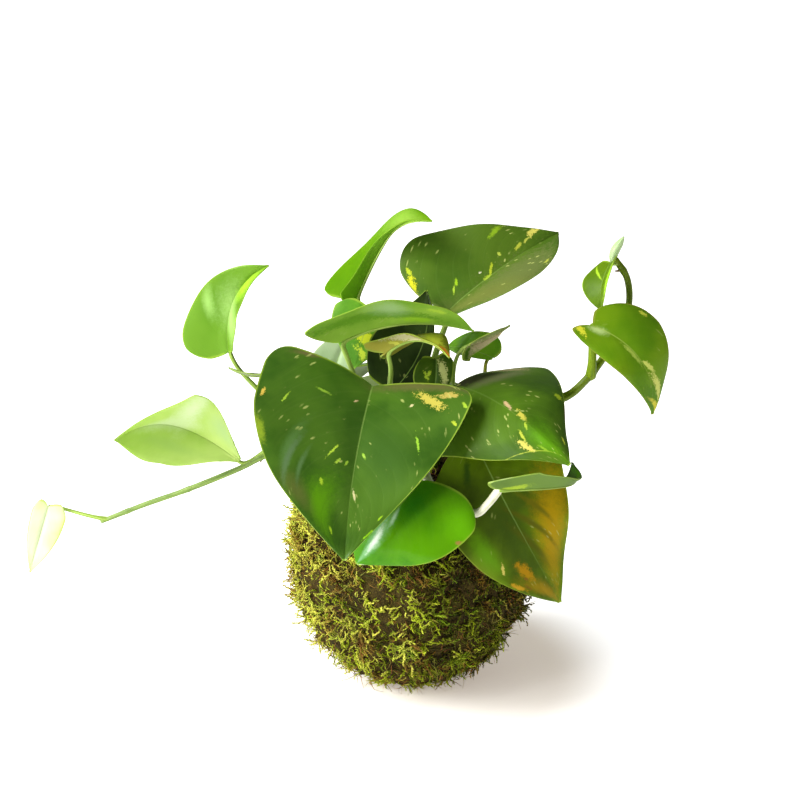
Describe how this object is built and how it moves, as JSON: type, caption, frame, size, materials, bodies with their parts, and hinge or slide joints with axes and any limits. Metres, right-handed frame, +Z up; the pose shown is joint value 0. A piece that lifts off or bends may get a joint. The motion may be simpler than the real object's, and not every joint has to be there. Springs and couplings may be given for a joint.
{
  "type": "kokedama moss ball plant",
  "caption": "Trailing pothos with large heart-shaped variegated leaves, growing out of a rounded ball of soil wrapped in moss that stands by itself.",
  "frame": {"origin": "middle of the flat spot that the moss ball rests on", "axes": "+Z up, +X to the trailing shoot on the right, -Y to the front"},
  "size_m": [0.3103, 0.1869, 0.2338],
  "materials": {
    "moss_cover": "living sheet moss, matte",
    "soil_ball": "moist soil mix, matte",
    "root_plug": "moist soil mix, matte",
    "binding_thread": "dark green cotton thread",
    "leaf_bud": "rolled young leaf, smooth",
    "stem_left": "living stem, smooth",
    "stem_right": "living stem, smooth",
    "stem_back_left": "living stem, smooth",
    "stem_front": "living stem, smooth",
    "stem_middle": "living stem, smooth",
    "stem_middle_right": "living stem, smooth",
    "stem_back": "living stem, smooth",
    "leaf_front_large": "living leaf, waxy sheen",
    "leaf_right_large": "living leaf, waxy sheen",
    "leaf_right_yellowing": "living leaf, waxy sheen",
    "leaf_front_low": "living leaf, waxy sheen",
    "leaf_front_tilted": "living leaf, waxy sheen",
    "leaf_top_large": "living leaf, waxy sheen",
    "leaf_top_bright": "living leaf, waxy sheen",
    "leaf_top_level": "living leaf, waxy sheen",
    "leaf_cream_edged": "living leaf, waxy sheen",
    "leaf_dark_upright": "living leaf, waxy sheen",
    "leaf_middle_variegated": "living leaf, waxy sheen",
    "leaf_middle_pale": "living leaf, waxy sheen",
    "leaf_right_folded": "living leaf, waxy sheen",
    "leaf_right_small": "living leaf, waxy sheen",
    "leaf_middle_hanging": "living leaf, waxy sheen",
    "leaf_far_right": "living leaf, waxy sheen",
    "leaf_far_right_young": "living leaf, waxy sheen",
    "leaf_far_left_high": "living leaf, waxy sheen",
    "leaf_far_left_small": "living leaf, waxy sheen",
    "leaf_far_left_pale": "living leaf, waxy sheen",
    "leaf_far_left_tip": "living leaf, waxy sheen",
    "leaf_back_left": "living leaf, waxy sheen",
    "leaf_back_middle": "living leaf, waxy sheen",
    "leaf_back_right": "living leaf, waxy sheen"
  },
  "bodies": {
    "root": {"moss_cover": "moss_cover", "soil_ball": "soil_ball", "root_plug": "root_plug", "binding_thread": "binding_thread", "leaf_bud": "leaf_bud", "stem_left": "stem_left", "stem_right": "stem_right", "stem_back_left": "stem_back_left", "stem_front": "stem_front", "stem_middle": "stem_middle", "stem_middle_right": "stem_middle_right", "stem_back": "stem_back", "leaf_front_large": "leaf_front_large", "leaf_right_large": "leaf_right_large", "leaf_right_yellowing": "leaf_right_yellowing", "leaf_front_low": "leaf_front_low", "leaf_front_tilted": "leaf_front_tilted", "leaf_top_large": "leaf_top_large", "leaf_top_bright": "leaf_top_bright", "leaf_top_level": "leaf_top_level", "leaf_cream_edged": "leaf_cream_edged", "leaf_dark_upright": "leaf_dark_upright", "leaf_middle_variegated": "leaf_middle_variegated", "leaf_middle_pale": "leaf_middle_pale", "leaf_right_folded": "leaf_right_folded", "leaf_right_small": "leaf_right_small", "leaf_middle_hanging": "leaf_middle_hanging", "leaf_far_right": "leaf_far_right", "leaf_far_right_young": "leaf_far_right_young", "leaf_far_left_high": "leaf_far_left_high", "leaf_far_left_small": "leaf_far_left_small", "leaf_far_left_pale": "leaf_far_left_pale", "leaf_far_left_tip": "leaf_far_left_tip", "leaf_back_left": "leaf_back_left", "leaf_back_middle": "leaf_back_middle", "leaf_back_right": "leaf_back_right"}
  },
  "joints": []
}
